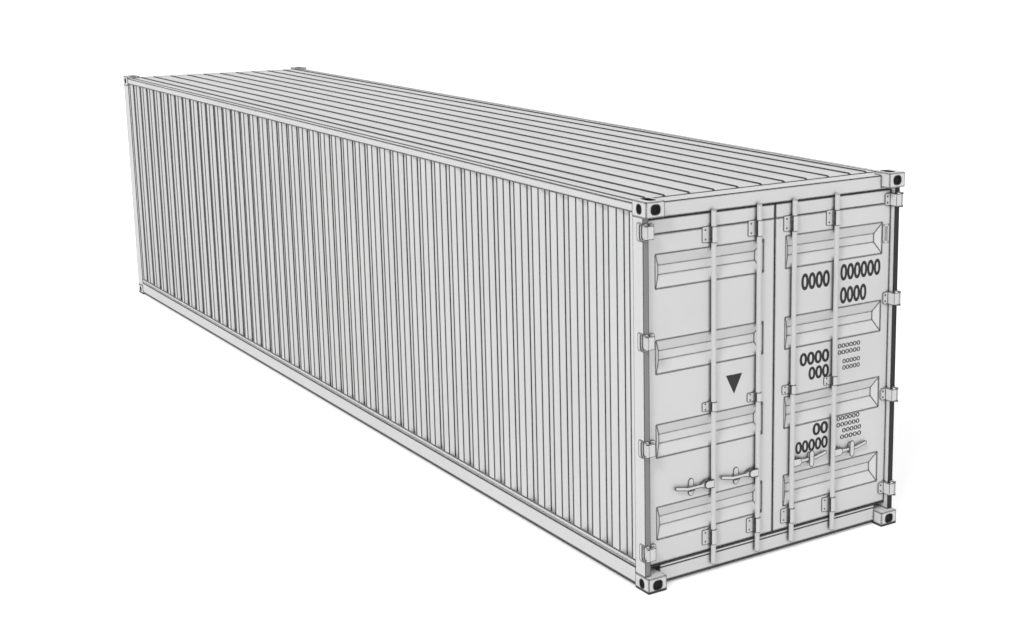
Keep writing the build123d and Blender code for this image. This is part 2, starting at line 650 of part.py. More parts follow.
def side_nodes(name, side):
    """Fixed nodes that both long sides have."""
    nodes = {
        f"rear_post_{name}": rear_post(),
        f"front_post_{name}": front_post(),
        f"top_rail_{name}": top_side_rail(),
        f"bottom_rail_{name}": bottom_side_rail(),
        f"side_wall_{name}": side_wall(),
        f"hinge_lugs_{name}": gather(hinge_lugs()),
    }
    return {node: to_side(shape, side) for node, shape in nodes.items()}


def container():
    """Every node of the container, by name."""
    nodes = castings()
    nodes["front_wall"] = front_wall()
    nodes["front_top_rail"] = front_rail((POST_TOP, ROOF_Z))
    nodes["front_bottom_rail"] = front_rail((BASE_GAP, POST_BOTTOM))
    nodes["door_header"] = door_header()
    nodes["door_sill"] = door_sill()
    nodes["roof_panel"] = roof_panel()
    nodes["roof_front_plate"] = roof_front_plate()
    nodes["floor"] = floor_deck()
    nodes["cross_members"] = cross_members()
    nodes["data_plate"] = data_plate()
    for name, side in (("right", 1), ("left", -1)):
        nodes.update(side_nodes(name, side))
        nodes.update(door_nodes(name, side))
    return nodes


os.makedirs("parts", exist_ok=True)
for node_name, node_shape in container().items():
    export_step(node_shape, f"parts/{node_name}.step")
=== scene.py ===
"""Looks of a forty-foot shipping container: painted steel, rubber, plywood, fittings and marks.

The CAD frame gives every piece its place. X runs along the length with the doors at +X, Y runs
across and Z is up. Every length here is in metres.
"""
import json
import math

import bmesh
import bpy
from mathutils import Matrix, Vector


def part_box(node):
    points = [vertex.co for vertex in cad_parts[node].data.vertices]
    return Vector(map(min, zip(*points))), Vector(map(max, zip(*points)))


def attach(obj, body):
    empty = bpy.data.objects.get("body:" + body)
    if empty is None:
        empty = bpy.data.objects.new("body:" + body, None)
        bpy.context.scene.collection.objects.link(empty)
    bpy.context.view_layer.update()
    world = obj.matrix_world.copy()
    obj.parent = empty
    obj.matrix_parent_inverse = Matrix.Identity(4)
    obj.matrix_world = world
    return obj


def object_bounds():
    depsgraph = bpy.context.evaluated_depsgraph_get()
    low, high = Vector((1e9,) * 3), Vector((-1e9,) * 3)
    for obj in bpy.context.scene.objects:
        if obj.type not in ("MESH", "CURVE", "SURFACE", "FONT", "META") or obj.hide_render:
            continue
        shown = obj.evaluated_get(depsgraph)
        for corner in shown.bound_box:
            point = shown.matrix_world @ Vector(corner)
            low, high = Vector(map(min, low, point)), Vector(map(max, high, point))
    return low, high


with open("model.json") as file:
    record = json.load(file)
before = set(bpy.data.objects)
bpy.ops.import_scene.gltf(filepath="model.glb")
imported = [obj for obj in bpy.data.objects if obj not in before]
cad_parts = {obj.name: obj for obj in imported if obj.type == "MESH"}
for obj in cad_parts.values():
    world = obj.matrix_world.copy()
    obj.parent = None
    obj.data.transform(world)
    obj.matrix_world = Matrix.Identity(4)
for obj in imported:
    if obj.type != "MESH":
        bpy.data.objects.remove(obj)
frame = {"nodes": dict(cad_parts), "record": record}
cad_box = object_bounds()

# Colours, as linear values
PAINT_GREY = (0.72, 0.72, 0.72)
# Dark grey of the painted shade lines along folds, edges and corners
SHADE_LINE_GREY = (0.022, 0.022, 0.022)
# Painted shade on the rear face of the left door post
POST_SHADE_GREY = (0.25, 0.25, 0.25)
PLATE_GREY = (0.36, 0.36, 0.36)
# Painted shadow on the rear face of the right door post
POST_SHADOW_BLACK = (0.012, 0.012, 0.012)
# Painted shadow inside the corner castings
HOLE_SHADOW_BLACK = (0.004, 0.004, 0.004)
RUBBER_BLACK = (0.012, 0.012, 0.013)
MARK_BLACK = (0.010, 0.010, 0.010)
PLY_LIGHT = (0.36, 0.23, 0.12)
PLY_DARK = (0.20, 0.12, 0.06)
FLOOR_WHITE = (0.95, 0.95, 0.95)
WHITE = (1.0, 1.0, 1.0)

# Camera, as fitted to the corners of the drawing, whose frame lies off the camera's axis
CAMERA_PLACE = Vector((14.964, -7.188, 4.716))
CAMERA_AIM = Vector((-0.792, 0.5758, -0.2029))
CAMERA_LENS = 55.19
CAMERA_SHIFT = (-0.1855, -0.0586)
SENSOR = 36.0
CLIP_END = 300.0

# Corrugated walls and roof: sizes of their pressed forms, as the CAD has them
FOLD_PITCH = 0.275
OUTER_FLAT = 0.125
INNER_FLAT = 0.070
WALL_SHEET = 0.002
RIB_HEIGHT = 0.013

# Rails, sill, castings, lock gear, hinge blades and their notches, as the CAD has them
RAIL_LIP_HEIGHT = 0.030
RAIL_STEP_HEIGHT = 0.024
SILL_LIP_HEIGHT = 0.030
CASTING_WALL = 0.015
CASTING_SEAT = 0.028
BLADE_WEB = 0.012
GUIDE_FOOT = 0.006
GUIDE_RADIUS = 0.0255
ROD_RADIUS = 0.019
NOTCH_DEPTH = 0.091
NOTCH_HALF_HEIGHT = 0.060
NOTCH_ROUND = 0.020

# Painted shade: dark lines along folds and edges
OUTER_FOLD_LINE = 0.018
INNER_FOLD_LINE = 0.011
LEVEL_LINE = 0.012
BOTTOM_LINE = 0.046
SILL_TOP_LINE = 0.024
FRONT_END_GROWTH = 2.2
FRONT_WALL_GROWTH = 1.3
ROOF_BORDER = 0.028
EDGE_RADIUS = 0.016
FITTING_EDGE_RADIUS = 0.008
LOCK_EDGE_RADIUS = 0.012
CASTING_SKIN = 0.005
GUIDE_FLANK = 0.008
POST_EDGE_RADIUS = 0.010
RIB_LINE_START = 0.0035
LINE_BLUR = 0.001
FADE_START = 0.4
FADE_END = 0.6

# Limits between which a face counts as upright, as bent at an edge, or as shaded in a corner
UPRIGHT_FACING = (0.6, 0.4)
EDGE_TURN = (0.999, 0.988)
CORNER_SHADE = (0.75, 0.45)
BEVEL_SAMPLES = 8
OCCLUSION_SAMPLES = 6

# Grain of the finishes: how fine it is, how dark and how high
FITTING_ROUGHNESS = 0.45
DUST_SCALE = 0.9
DUST_SHADE = 0.95
SPECKLE_SCALE = 60.0
SPECKLE_SHADE = 0.6
SPECKLE_SHARE = 0.10
PEEL_SCALE = 220.0
PEEL_HEIGHT = 0.0006
WORN_GAIN = 1.8
WORN_LIFT = 0.004
WORN_HEIGHT = 0.0008
PLY_STRETCH = (3.0, 34.0, 1.0)
PLY_SCALE = 2.2
PLY_HEIGHT = 0.001
BOARD_LENGTH = 2.4
BOARD_WIDTH = 1.16
BOARD_JOINT = 0.004
BOARD_SHADE = 0.82
JOINT_SHADE = 0.05

# Small fittings
BEAD_RADIUS = 0.004
BOLT_RADIUS = 0.007
RIVET_RADIUS = 0.004
PLATE_BORDER = 0.017
PAD_RIM = 0.034
PAD_OVERLAP = 0.008
PAD_THICKNESS = 0.003
MARK_THICKNESS = 0.0008
BOLD_STROKE = 0.032
PLAIN_STROKE = 0.014
SHADOW_SHEET_GAP = 0.001
NOTCH_STEPS = 6
BLADE_BOLT_INSET = 0.022
BLADE_BOLT_SHARES = (0.24, 0.76)
BLADE_BOLT_SIDES = 6
GUIDE_BOLT_INSET = 0.028
GUIDE_BOLT_SHARES = (0.2, 0.8)
GUIDE_BOLT_SIDES = 8
GUIDE_BOLT_RADIUS = 0.8 * BOLT_RADIUS
NARROWEST_BOLTED = 0.07
RIVET_INSET = 0.009
RIVET_SIDES = 10
BORDER_BEAD = 0.0012
NEARLY_UPRIGHT = 0.1
JOIN_DISTANCE = 1e-6

# Rings of a fastener head: distance from its axis and from the face, as shares of its radius
HEAD_PROFILE = ((1.35, 0.0), (1.35, 0.15), (1.0, 0.15), (1.0, 0.5), (0.72, 0.72), (0.3, 0.8))

# Light and stage
SKY_STRENGTH = 0.74
SUN_ENERGY = 1.0
SUN_ANGLE = 12.0
SUN_AIM = Vector((-0.40, 0.62, -0.68))
STAGE_SIZE = 200.0
STAGE_GLOW = 0.35

LOW, HIGH = cad_box
DOOR_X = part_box("right_door_panel")[1].x
WALL_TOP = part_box("side_wall_right")[1].z
RAIL_LOW, RAIL_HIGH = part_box("bottom_rail_right")
SILL_LOW, SILL_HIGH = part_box("door_sill")
HEADER_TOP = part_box("door_header")[1].z
ROOF_SHEET_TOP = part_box("roof_panel")[1].z - RIB_HEIGHT
POST_REAR_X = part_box("rear_post_right")[1].x
RODS = ("left_outer", "left_inner", "right_inner", "right_outer")

# Stencilled marks on the right-hand door: left and right edge, height of the middle, size, digits
LARGE_MARKS = (
    (0.262, 0.545, 2.120, 0.132, 4),
    (0.652, 1.068, 2.145, 0.132, 6),
    (0.652, 0.925, 1.962, 0.132, 4),
    (0.255, 0.552, 1.508, 0.105, 4),
    (0.345, 0.552, 1.386, 0.105, 3),
    (0.395, 0.552, 0.925, 0.100, 2),
    (0.222, 0.552, 0.805, 0.100, 5),
)
SMALL_MARKS = (
    (0.640, 0.872, 1.558, 0.036, 6),
    (0.640, 0.872, 1.506, 0.036, 6),
    (0.690, 0.872, 1.430, 0.036, 5),
    (0.690, 0.872, 1.378, 0.036, 5),
    (0.640, 0.880, 0.966, 0.036, 6),
    (0.640, 0.880, 0.914, 0.036, 6),
    (0.700, 0.900, 0.862, 0.036, 5),
    (0.680, 0.900, 0.810, 0.036, 5),
)
TRIANGLE_MIDDLE = (-0.376, 1.429)
TRIANGLE_SIZE = (0.150, 0.150)


def link(obj):
    """Puts an object into the scene."""
    bpy.context.scene.collection.objects.link(obj)
    return obj


def node_adder(owner):
    """Function that adds a node to an emptied material or world, and sets or links its inputs."""
    owner.use_nodes = True
    tree = owner.node_tree
    tree.nodes.clear()

    def add(kind, inputs=None, **settings):
        node = tree.nodes.new("ShaderNode" + kind)
        for key, value in settings.items():
            setattr(node, key, value)
        for key, value in (inputs or {}).items():
            if isinstance(value, bpy.types.NodeSocket):
                tree.links.new(value, node.inputs[key])
            else:
                node.inputs[key].default_value = value
        return node

    return add


def new_material(name):
    """Empty node material with its output, and a function that adds and sets nodes."""
    material = bpy.data.materials.new(name)
    add = node_adder(material)
    return material, add, add("OutputMaterial")


def rgba(colour):
    """Colour with full opacity."""
    return (*colour, 1.0)


def shade(colour, share):
    """Colour made darker or lighter by a share."""
    return tuple(channel * share for channel in colour)


def mix_colour(add, factor, low, high):
    """Mix of two colours, either of them a socket."""
    node = add("Mix", data_type="RGBA")
    sockets = {"factor": node.inputs[0], "low": node.inputs[6], "high": node.inputs[7]}
    for key, value in (("factor", factor), ("low", low), ("high", high)):
        if isinstance(value, bpy.types.NodeSocket):
            node.id_data.links.new(value, sockets[key])
        elif key == "factor":
            sockets[key].default_value = value
        else:
            sockets[key].default_value = rgba(value)
    return node.outputs[2]


def math_step(add, operation, first, second=0.0):
    """Result of one arithmetic step on sockets or numbers."""
    return add("Math", {0: first, 1: second}, operation=operation).outputs[0]


def distance(add, first, second):
    """Distance between two values, either of them a socket."""
    return math_step(add, "ABSOLUTE", math_step(add, "SUBTRACT", first, second))


def combined(add, operation, masks):
    """One mask out of several."""
    result = masks[0]
    for mask in masks[1:]:
        result = math_step(add, operation, result, mask)
    return result


def remap(add, value, low, high, to_low=0.0, to_high=1.0):
    """Value stretched from one range to another and clamped."""
    inputs = {"Value": value, "From Min": low, "From Max": high, "To Min": to_low, "To Max": to_high}
    return add("MapRange", inputs, clamp=True).outputs["Result"]


def axes(add, vector):
    """X, Y and Z of a vector."""
    return add("SeparateXYZ", {0: vector}).outputs


def band(add, value, middle, width):
    """1 where a value lies within half a width of the middle, with soft borders."""
    return remap(add, distance(add, value, middle), FADE_END * width, FADE_START * width)


def line_growth(add, place):
    """Widening of the painted shade lines towards the front end."""
    return remap(add, axes(add, place)[0], HIGH.x, LOW.x, 1.0, FRONT_END_GROWTH)


def fold_sizes(length):
    """Number of folds in a corrugated wall of this length, their pitch and the run of each slope."""
    folds = round(length / FOLD_PITCH)
    pitch = length / folds
    return folds, pitch, (pitch - OUTER_FLAT - INNER_FLAT) / 2


def fold_lines(node, axis):
    """Mask for painted shade lines at the fold corners of a corrugated wall that runs along an axis."""
    low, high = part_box(node)
    pitch, slope = fold_sizes(high[axis] - low[axis])[1:]

    def mask(add, place):
        along = math_step(add, "SUBTRACT", axes(add, place)[axis], low[axis])
        within = math_step(add, "PINGPONG", along, pitch / 2)
        growth = line_growth(add, place) if axis == 0 else FRONT_WALL_GROWTH
        masks = []
        for corner, middle, width in ((OUTER_FLAT / 2, OUTER_FOLD_LINE / 2, OUTER_FOLD_LINE),
                                      (OUTER_FLAT / 2 + slope, 0.0, INNER_FOLD_LINE)):
            before = math_step(add, "SUBTRACT", corner, within)
            masks.append(band(add, math_step(add, "DIVIDE", before, growth), middle, width))
        return combined(add, "MAXIMUM", masks)

    return mask


def level_lines(levels):
    """Mask for level lines of painted shade on upright faces, each given by its height and width."""
    def mask(add, place):
        height = axes(add, place)[2]
        facing_up = math_step(add, "ABSOLUTE", axes(add, add("NewGeometry").outputs["True Normal"])[2])
        upright = remap(add, facing_up, *UPRIGHT_FACING)
        lines = combined(add, "MAXIMUM", [band(add, height, level, width) for level, width in levels])
        return math_step(add, "MULTIPLY", lines, upright)

    return mask


def roof_lines(add, place):
    """Mask for painted shade lines on the upper part of the roof's narrow ribs and along the border of its
    sheet.
    """
    low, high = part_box("roof_panel")
    middle = (low + high) / 2
    above_sheet = math_step(add, "SUBTRACT", axes(add, place)[2], ROOF_SHEET_TOP)
    grown = math_step(add, "MULTIPLY", above_sheet, line_growth(add, place))
    masks = [remap(add, grown, RIB_LINE_START, RIB_LINE_START + LINE_BLUR)]
    for axis in range(2):
        away = distance(add, axes(add, place)[axis], middle[axis])
        reach = high[axis] - middle[axis] - ROOF_BORDER
        masks.append(remap(add, away, reach - LINE_BLUR, reach + LINE_BLUR))
    return combined(add, "MAXIMUM", masks)


def post_end_shade(add, place):
    """Mask for the rear face of a door post, painted dark as the shade in the recess beside the door."""
    return remap(add, axes(add, place)[0], POST_REAR_X - 2 * LINE_BLUR, POST_REAR_X - LINE_BLUR)


def guide_side_shadow(add, place):
    """Mask for the flanks of the rod guides, which close round the lock rods, painted dark as the shadow
    beside each rod.
    """
    x, y = axes(add, place)[:2]
    masks = []
    for rod in RODS:
        low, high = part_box(f"{rod}_lock_rod")
        rod_y = high.y - ROD_RADIUS if "left" in rod else low.y + ROD_RADIUS
        masks.append(band(add, distance(add, y, rod_y), GUIDE_RADIUS, GUIDE_FLANK))
    start = DOOR_X + 2 * GUIDE_FOOT
    in_front = remap(add, x, start - LINE_BLUR / 2, start + LINE_BLUR / 2)
    return math_step(add, "MULTIPLY", combined(add, "MAXIMUM", masks), in_front)


def plate_field(add, place):
    """Mask for the field of the data plate inside its raised border."""
    low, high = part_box("data_plate")
    middle = (low + high) / 2
    masks = []
    for axis in (1, 2):
        away = distance(add, axes(add, place)[axis], middle[axis])
        reach = high[axis] - middle[axis] - PLATE_BORDER
        masks.append(remap(add, away, reach + LINE_BLUR / 2, reach - LINE_BLUR / 2))
    return combined(add, "MULTIPLY", masks)


def casting_inside_shadow(add, place):
    """Mask for what lies below the skin of the corner castings, alike in all eight corners, painted black
    as the shade inside them.
    """
    low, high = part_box("corner_casting_rear_right_top")
    centre = Vector((0.0, 0.0, HIGH.z / 2))
    masks = []
    for axis in range(3):
        away = distance(add, axes(add, place)[axis], centre[axis])
        middle = (low[axis] + high[axis]) / 2 - centre[axis]
        depth = (high[axis] - low[axis]) / 2 - CASTING_SKIN
        masks.append(remap(add, distance(add, away, middle), depth + 2 * LINE_BLUR, depth))
    return combined(add, "MULTIPLY", masks)


def edge_shade_mask(add, radius):
    """Painted shade mask: 1 along the edges of a piece and where it meets another, and 0 on its flats."""
    rounded = add("Bevel", {"Radius": radius}, samples=BEVEL_SAMPLES)
    flat = add("NewGeometry")
    facing = add("VectorMath", {0: rounded.outputs["Normal"], 1: flat.outputs["True Normal"]},
                 operation="DOT_PRODUCT")
    edges = remap(add, facing.outputs["Value"], *EDGE_TURN)
    occlusion = add("AmbientOcclusion", {"Distance": 2 * radius}, samples=OCCLUSION_SAMPLES)
    corners = remap(add, occlusion.outputs["AO"], *CORNER_SHADE)
    return math_step(add, "MAXIMUM", edges, corners)


def painted(name, roughness=0.55, edge_radius=EDGE_RADIUS, grain=0.25, lines=None, tints=()):
    """Matt container paint with soft dust, brush grain and painted shade along its folds and edges.

    Lines is a mask of further painted shade, and each tint is a mask and the colour that it shows.
    """
    material, add, output = new_material(name)
    place = add("TexCoord").outputs["Object"]
    clouds = add("TexNoise", {"Vector": place, "Scale": DUST_SCALE, "Detail": 5.0, "Roughness": 0.6})
    dust = remap(add, clouds.outputs["Fac"], 0.35, 0.7)
    base = mix_colour(add, dust, PAINT_GREY, shade(PAINT_GREY, DUST_SHADE))
    speckle = add("TexNoise", {"Vector": place, "Scale": SPECKLE_SCALE, "Detail": 3.0})
    spots = remap(add, speckle.outputs["Fac"], 0.62, 0.72, 0.0, SPECKLE_SHARE)
    base = mix_colour(add, spots, base, shade(PAINT_GREY, SPECKLE_SHADE))
    for mask, colour in tints:
        base = mix_colour(add, mask(add, place), base, colour)
    # Painted shade: dark lines along edges, in corners and along folds, mixed into the paint colour
    painted_shade = []
    if edge_radius:
        painted_shade.append(edge_shade_mask(add, edge_radius))
    if lines:
        painted_shade.append(lines(add, place))
    line_unevenness = remap(add, speckle.outputs["Fac"], 0.3, 0.6, 0.9, 1.0)
    painted_shade = math_step(add, "MULTIPLY", combined(add, "MAXIMUM", painted_shade), line_unevenness)
    base = mix_colour(add, painted_shade, base, SHADE_LINE_GREY)
    peel = add("TexNoise", {"Vector": place, "Scale": PEEL_SCALE, "Detail": 2.0})
    bump = add("Bump", {"Height": peel.outputs["Fac"], "Strength": grain, "Distance": PEEL_HEIGHT})
    rough = remap(add, clouds.outputs["Fac"], 0.2, 0.8, roughness - 0.06, roughness + 0.1)
    shader = add("BsdfPrincipled", {"Base Color": base, "Roughness": rough,
                                    "Normal": bump.outputs["Normal"], "Specular IOR Level": 0.35})
    output.id_data.links.new(shader.outputs[0], output.inputs["Surface"])
    return material


def dark(name, colour, roughness, scale=120.0, grain=0.3):
    """Rubber, stencil paint or the painted shadow inside the castings: one dark tone with a fine uneven
    surface.
    """
    material, add, output = new_material(name)
    place = add("TexCoord").outputs["Object"]
    noise = add("TexNoise", {"Vector": place, "Scale": scale, "Detail": 4.0})
    worn = remap(add, noise.outputs["Fac"], 0.45, 0.8)
    lighter = tuple(channel * WORN_GAIN + WORN_LIFT for channel in colour)
    base = mix_colour(add, worn, colour, lighter)
    bump = add("Bump", {"Height": noise.outputs["Fac"], "Strength": grain, "Distance": WORN_HEIGHT})
    shader = add("BsdfPrincipled", {"Base Color": base, "Roughness": roughness,
                                    "Normal": bump.outputs["Normal"]})
    output.id_data.links.new(shader.outputs[0], output.inputs["Surface"])
    return material


def plywood():
    """Marine plywood in boards across the floor, with grain along them and dark joints between."""
    material, add, output = new_material("plywood")
    place = add("TexCoord").outputs["Object"]
    stretched = add("Mapping", {"Vector": place, "Scale": PLY_STRETCH})
    grain = add("TexNoise", {"Vector": stretched.outputs[0], "Scale": PLY_SCALE, "Detail": 8.0,
                             "Distortion": 0.6})
    base = mix_colour(add, remap(add, grain.outputs["Fac"], 0.35, 0.7), PLY_LIGHT, PLY_DARK)
    boards = add("TexBrick", {"Vector": place, "Color1": rgba(WHITE),
                              "Color2": rgba(shade(WHITE, BOARD_SHADE)),
                              "Mortar": rgba(shade(WHITE, JOINT_SHADE)), "Scale": 1.0,
                              "Mortar Size": BOARD_JOINT, "Brick Width": BOARD_LENGTH,
                              "Row Height": BOARD_WIDTH})
    jointed = add("Mix", data_type="RGBA", blend_type="MULTIPLY")
    jointed.inputs[0].default_value = 1.0
    jointed.id_data.links.new(base, jointed.inputs[6])
    jointed.id_data.links.new(boards.outputs["Color"], jointed.inputs[7])
    bump = add("Bump", {"Height": grain.outputs["Fac"], "Strength": 0.2, "Distance": PLY_HEIGHT})
    shader = add("BsdfPrincipled", {"Base Color": jointed.outputs[2], "Roughness": 0.6,
                                    "Normal": bump.outputs["Normal"]})
    output.id_data.links.new(shader.outputs[0], output.inputs["Surface"])
    return material


def rail_levels():
    """Heights and widths of the painted shade lines along a bottom side rail."""
    step = RAIL_HIGH.z - RAIL_LIP_HEIGHT - RAIL_STEP_HEIGHT
    return ((RAIL_LOW.z, BOTTOM_LINE), (step, LEVEL_LINE), (RAIL_HIGH.z, LEVEL_LINE))


def sill_levels():
    """Heights and widths of the painted shade lines along the door sill, the top one the shadow under the
    doors.
    """
    lip = SILL_HIGH.z - SILL_LIP_HEIGHT
    return ((SILL_LOW.z, BOTTOM_LINE), (lip, LEVEL_LINE), (SILL_HIGH.z, SILL_TOP_LINE))


def header_levels():
    """Height and width of the painted shade line along the top of the door header."""
    return ((HEADER_TOP, LEVEL_LINE),)


def casting_levels():
    """Height and width of the painted shade line round the foot of each corner casting."""
    return ((LOW.z, BOTTOM_LINE),)


MATERIALS = {
    "body_paint": painted("container_paint"),
    "hardware_paint": painted("hardware_paint", FITTING_ROUGHNESS, FITTING_EDGE_RADIUS),
    "casting_steel": painted("casting_paint", roughness=0.6, grain=0.6, lines=level_lines(casting_levels()),
                             tints=[(casting_inside_shadow, HOLE_SHADOW_BLACK)]),
    "side_wall": painted("side_wall_paint", edge_radius=0.0, lines=fold_lines("side_wall_right", 0)),
    "front_wall": painted("front_wall_paint", edge_radius=0.0, lines=fold_lines("front_wall", 1)),
    "roof": painted("roof_paint", edge_radius=0.0, lines=roof_lines),
    "bottom_rail": painted("bottom_rail_paint", lines=level_lines(rail_levels())),
    "sill": painted("sill_paint", lines=level_lines(sill_levels())),
    "header": painted("header_paint", lines=level_lines(header_levels())),
    # Rear faces of the posts painted dark as shade: grey on the left post, near black on the right
    "left_post": painted("left_post_paint", edge_radius=POST_EDGE_RADIUS, tints=[(post_end_shade, POST_SHADE_GREY)]),
    "right_post": painted("right_post_paint", edge_radius=POST_EDGE_RADIUS,
                          tints=[(post_end_shade, POST_SHADOW_BLACK)]),
    "guide": painted("guide_paint", FITTING_ROUGHNESS, FITTING_EDGE_RADIUS, lines=guide_side_shadow),
    "lock_gear": painted("lock_gear_paint", FITTING_ROUGHNESS, LOCK_EDGE_RADIUS),
    "plate": painted("plate_paint", roughness=0.4, edge_radius=FITTING_EDGE_RADIUS / 2,
                     tints=[(plate_field, PLATE_GREY)]),
    "seal_rubber": dark("seal_rubber", RUBBER_BLACK, roughness=0.7),
    "deck_wood": plywood(),
    "marks": dark("stencil_black", MARK_BLACK, roughness=0.6, scale=300.0, grain=0.1),
    # Black sheets painted as the shade inside the corner castings
    "socket_shadow": dark("socket_shadow", HOLE_SHADOW_BLACK, roughness=0.9),
}
OWN_MATERIALS = {
    "side_wall_right": "side_wall",
    "side_wall_left": "side_wall",
    "front_wall": "front_wall",
    "roof_panel": "roof",
    "bottom_rail_right": "bottom_rail",
    "bottom_rail_left": "bottom_rail",
    "door_sill": "sill",
    "door_header": "header",
    "rear_post_left": "left_post",
    "rear_post_right": "right_post",
    "left_rod_brackets": "guide",
    "right_rod_brackets": "guide",
    "data_plate": "plate",
}
for rod_name in RODS:
    OWN_MATERIALS[f"{rod_name}_lock_rod"] = "lock_gear"
    OWN_MATERIALS[f"{rod_name}_handle"] = "lock_gear"


def dress_frame():
    """Gives every CAD node its own finish, or else that of its slot."""
    for part in frame["record"]["subparts"]:
        node = frame["nodes"][part["node"]]
        finish = OWN_MATERIALS.get(part["node"], part["material_slot"])
        node.data.materials.clear()
        node.data.materials.append(MATERIALS[finish])


def mesh_object(name, bm, material, body):
    """Makes a finished piece from a bmesh, riding on a CAD body."""
    mesh = bpy.data.meshes.new(name)
    bm.normal_update()
    bm.to_mesh(mesh)
    bm.free()
    mesh.materials.append(MATERIALS[material])
    obj = link(bpy.data.objects.new(name, mesh))
    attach(obj, body)


def tube_along(bm, points, radius, sides=6, closed=False):
    """Adds a tube through the points to a bmesh, each ring square to the path's mean direction."""
    rings = []
    count = len(points)
    for here, point in enumerate(points):
        before = points[here - 1] if closed or here else point
        after = points[(here + 1) % count] if closed or here < count - 1 else point
        along = (after - before).normalized()
        across = along.cross(Vector((0, 0, 1)))
        if across.length < NEARLY_UPRIGHT:
            across = along.cross(Vector((1, 0, 0)))
        across.normalize()
        up = across.cross(along)
        turns = [2 * math.pi * side / sides for side in range(sides)]
        rings.append([bm.verts.new(point + radius * (math.cos(turn) * across + math.sin(turn) * up))
                      for turn in turns])
    last = count if closed else count - 1
    for here in range(last):
        ring, following = rings[here], rings[(here + 1) % count]
        for side in range(sides):
            after = (side + 1) % sides
            bm.faces.new((ring[side], ring[after], following[after], following[side]))
    if not closed:
        bm.faces.new(rings[0][::-1])
        bm.faces.new(rings[-1])


def fold_path(side, z):
    """Outer line of a corrugated side wall at one height."""
    low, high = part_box("side_wall_right")
    folds, pitch, slope = fold_sizes(high.x - low.x)
    outer = high.y
    inner = low.y + WALL_SHEET
    points = [Vector((low.x, side * outer, z))]
    for fold in range(folds):
        start = low.x + fold * pitch + OUTER_FLAT / 2
        for reach, level in ((0, outer), (slope, inner), (slope + INNER_FLAT, inner),
                             (2 * slope + INNER_FLAT, outer)):
            points.append(Vector((start + reach, side * level, z)))
    points.append(Vector((high.x, side * outer, z)))
    return points


def make_wall_welds():
    """Weld beads where the side walls meet the top rails, and along the lip before their feet."""
    for name, side in (("right", 1), ("left", -1)):
        bm = bmesh.new()
        tube_along(bm, fold_path(side, WALL_TOP), BEAD_RADIUS)
        wall_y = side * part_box("side_wall_right")[1].y
        ends = [Vector((x, wall_y, RAIL_HIGH.z)) for x in (RAIL_LOW.x, RAIL_HIGH.x)]
        tube_along(bm, ends, BEAD_RADIUS)
        mesh_object(f"wall_welds_{name}", bm, "body_paint", "container")


def make_casting_welds():
    """Weld beads where each corner casting meets its post."""
    bm = bmesh.new()
    for end in ("rear", "front"):
        for side in ("right", "left"):
            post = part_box(f"{end}_post_{side}")
            for z in (post[0].z, post[1].z):
                corners = [(post[0].x, post[0].y), (post[1].x, post[0].y),
                           (post[1].x, post[1].y), (post[0].x, post[1].y)]
                points = [Vector((x, y, z)) for x, y in corners]
                tube_along(bm, points, BEAD_RADIUS, closed=True)
    mesh_object("casting_welds", bm, "body_paint", "container")


def islands(node):
    """Boxes of the separate solids in a CAD node."""
    bm = bmesh.new()
    bm.from_mesh(frame["nodes"][node].data)
    bmesh.ops.remove_doubles(bm, verts=bm.verts, dist=JOIN_DISTANCE)
    left = set(bm.verts)
    boxes = []
    while left:
        todo = [left.pop()]
        found = []
        while todo:
            vert = todo.pop()
            found.append(vert.co.copy())
            for edge in vert.link_edges:
                other = edge.other_vert(vert)
                if other in left:
                    left.remove(other)
                    todo.append(other)
        boxes.append(tuple(Vector([pick(point[axis] for point in found) for axis in range(3)])
                           for pick in (min, max)))
    bm.free()
    return sorted(boxes, key=lambda box: (round(box[0].z, 3), round(box[0].y, 3)))


def add_head(bm, place, radius, sides):
    """Adds a low fastener head on a face that looks along +X: a washer, a chamfered head and its crown."""
    made = []
    for share, lift in HEAD_PROFILE:
        reach = share * radius
        ring = []
        for step in range(sides):
            turn = 2 * math.pi * step / sides
            offset = Vector((lift * radius, reach * math.cos(turn), reach * math.sin(turn)))
            ring.append(bm.verts.new(place + offset))
        made.append(ring)
    for low, high in zip(made, made[1:]):
        for step in range(sides):
            after = (step + 1) % sides
            bm.faces.new((low[step], low[after], high[after], high[step]))
    bm.faces.new(made[-1])


def notch_path(rear_x, front_x, half_height, y, middle):
    """Line from the rear round a hinge notch, over its rounded front corners and back."""
    points = [Vector((rear_x, y, middle + half_height))]
    for up in (1, -1):
        for step in range(NOTCH_STEPS + 1):
            share = step / NOTCH_STEPS if up > 0 else 1 - step / NOTCH_STEPS
            turn = share * math.pi / 2
            x = front_x + NOTCH_ROUND * (1 - math.sin(turn))
            z = middle + up * (half_height - NOTCH_ROUND * (1 - math.cos(turn)))
            points.append(Vector((x, y, z)))
    points.append(Vector((rear_x, y, middle - half_height)))
    return points


